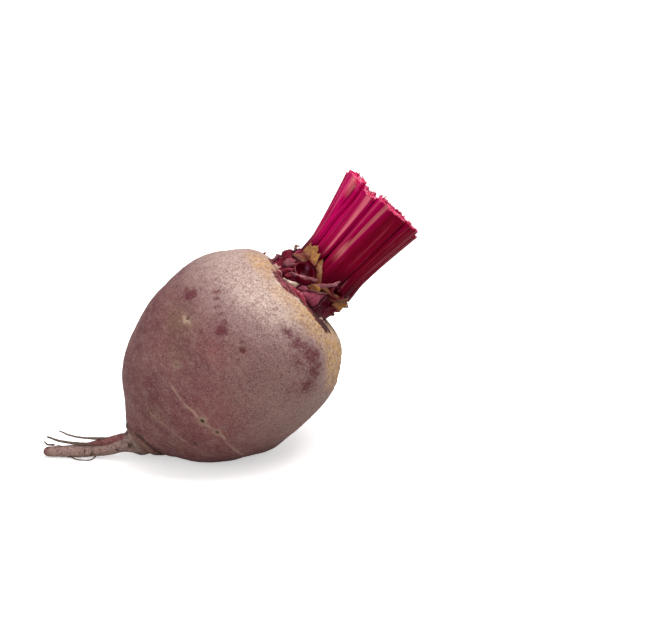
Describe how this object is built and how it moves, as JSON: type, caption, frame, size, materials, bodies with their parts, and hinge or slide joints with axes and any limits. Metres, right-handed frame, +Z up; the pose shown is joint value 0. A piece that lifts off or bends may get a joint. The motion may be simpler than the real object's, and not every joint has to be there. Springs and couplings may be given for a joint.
{
  "type": "beetroot",
  "caption": "Beetroot lying on its side: round root with thin taproot and rootlets, scarred crown, and leaf stalks cut short.",
  "frame": {"origin": "on the flat spot that the root rests on, under its weight", "axes": "+Z up from the surface it lies on; +X the way the crown and the cut stalks point; the taproot trails toward -X"},
  "size_m": [0.1515, 0.0765, 0.1112],
  "materials": {
    "root_skin": "dusty mauve-brown skin, tan and corky near the crown, slightly matte with a soft sheen",
    "crown_flesh": "maroon leaf scars with pale torn edges",
    "dry_husk": "dry ochre-brown papery leaf bases",
    "stalk_flesh": "vivid magenta to crimson, ribbed and moist, with pink and tan stripes"
  },
  "bodies": {
    "root": {"swollen_root": "root_skin", "crown": "crown_flesh", "leaf_stalk_1": "stalk_flesh", "leaf_stalk_2": "stalk_flesh", "leaf_stalk_3": "stalk_flesh", "leaf_stalk_4": "stalk_flesh", "leaf_stalk_5": "stalk_flesh", "leaf_stalk_6": "stalk_flesh", "leaf_stalk_7": "stalk_flesh", "leaf_stalk_8": "stalk_flesh", "leaf_stalk_9": "stalk_flesh", "leaf_stalk_10": "stalk_flesh", "leaf_stalk_11": "stalk_flesh", "leaf_stalk_12": "stalk_flesh", "leaf_stalk_13": "stalk_flesh", "leaf_stalk_14": "stalk_flesh", "leaf_stalk_15": "stalk_flesh", "dry_leaf_base_1": "dry_husk", "dry_leaf_base_2": "dry_husk", "dry_leaf_base_3": "dry_husk", "dry_leaf_base_4": "dry_husk", "dry_leaf_base_5": "dry_husk"}
  },
  "joints": []
}
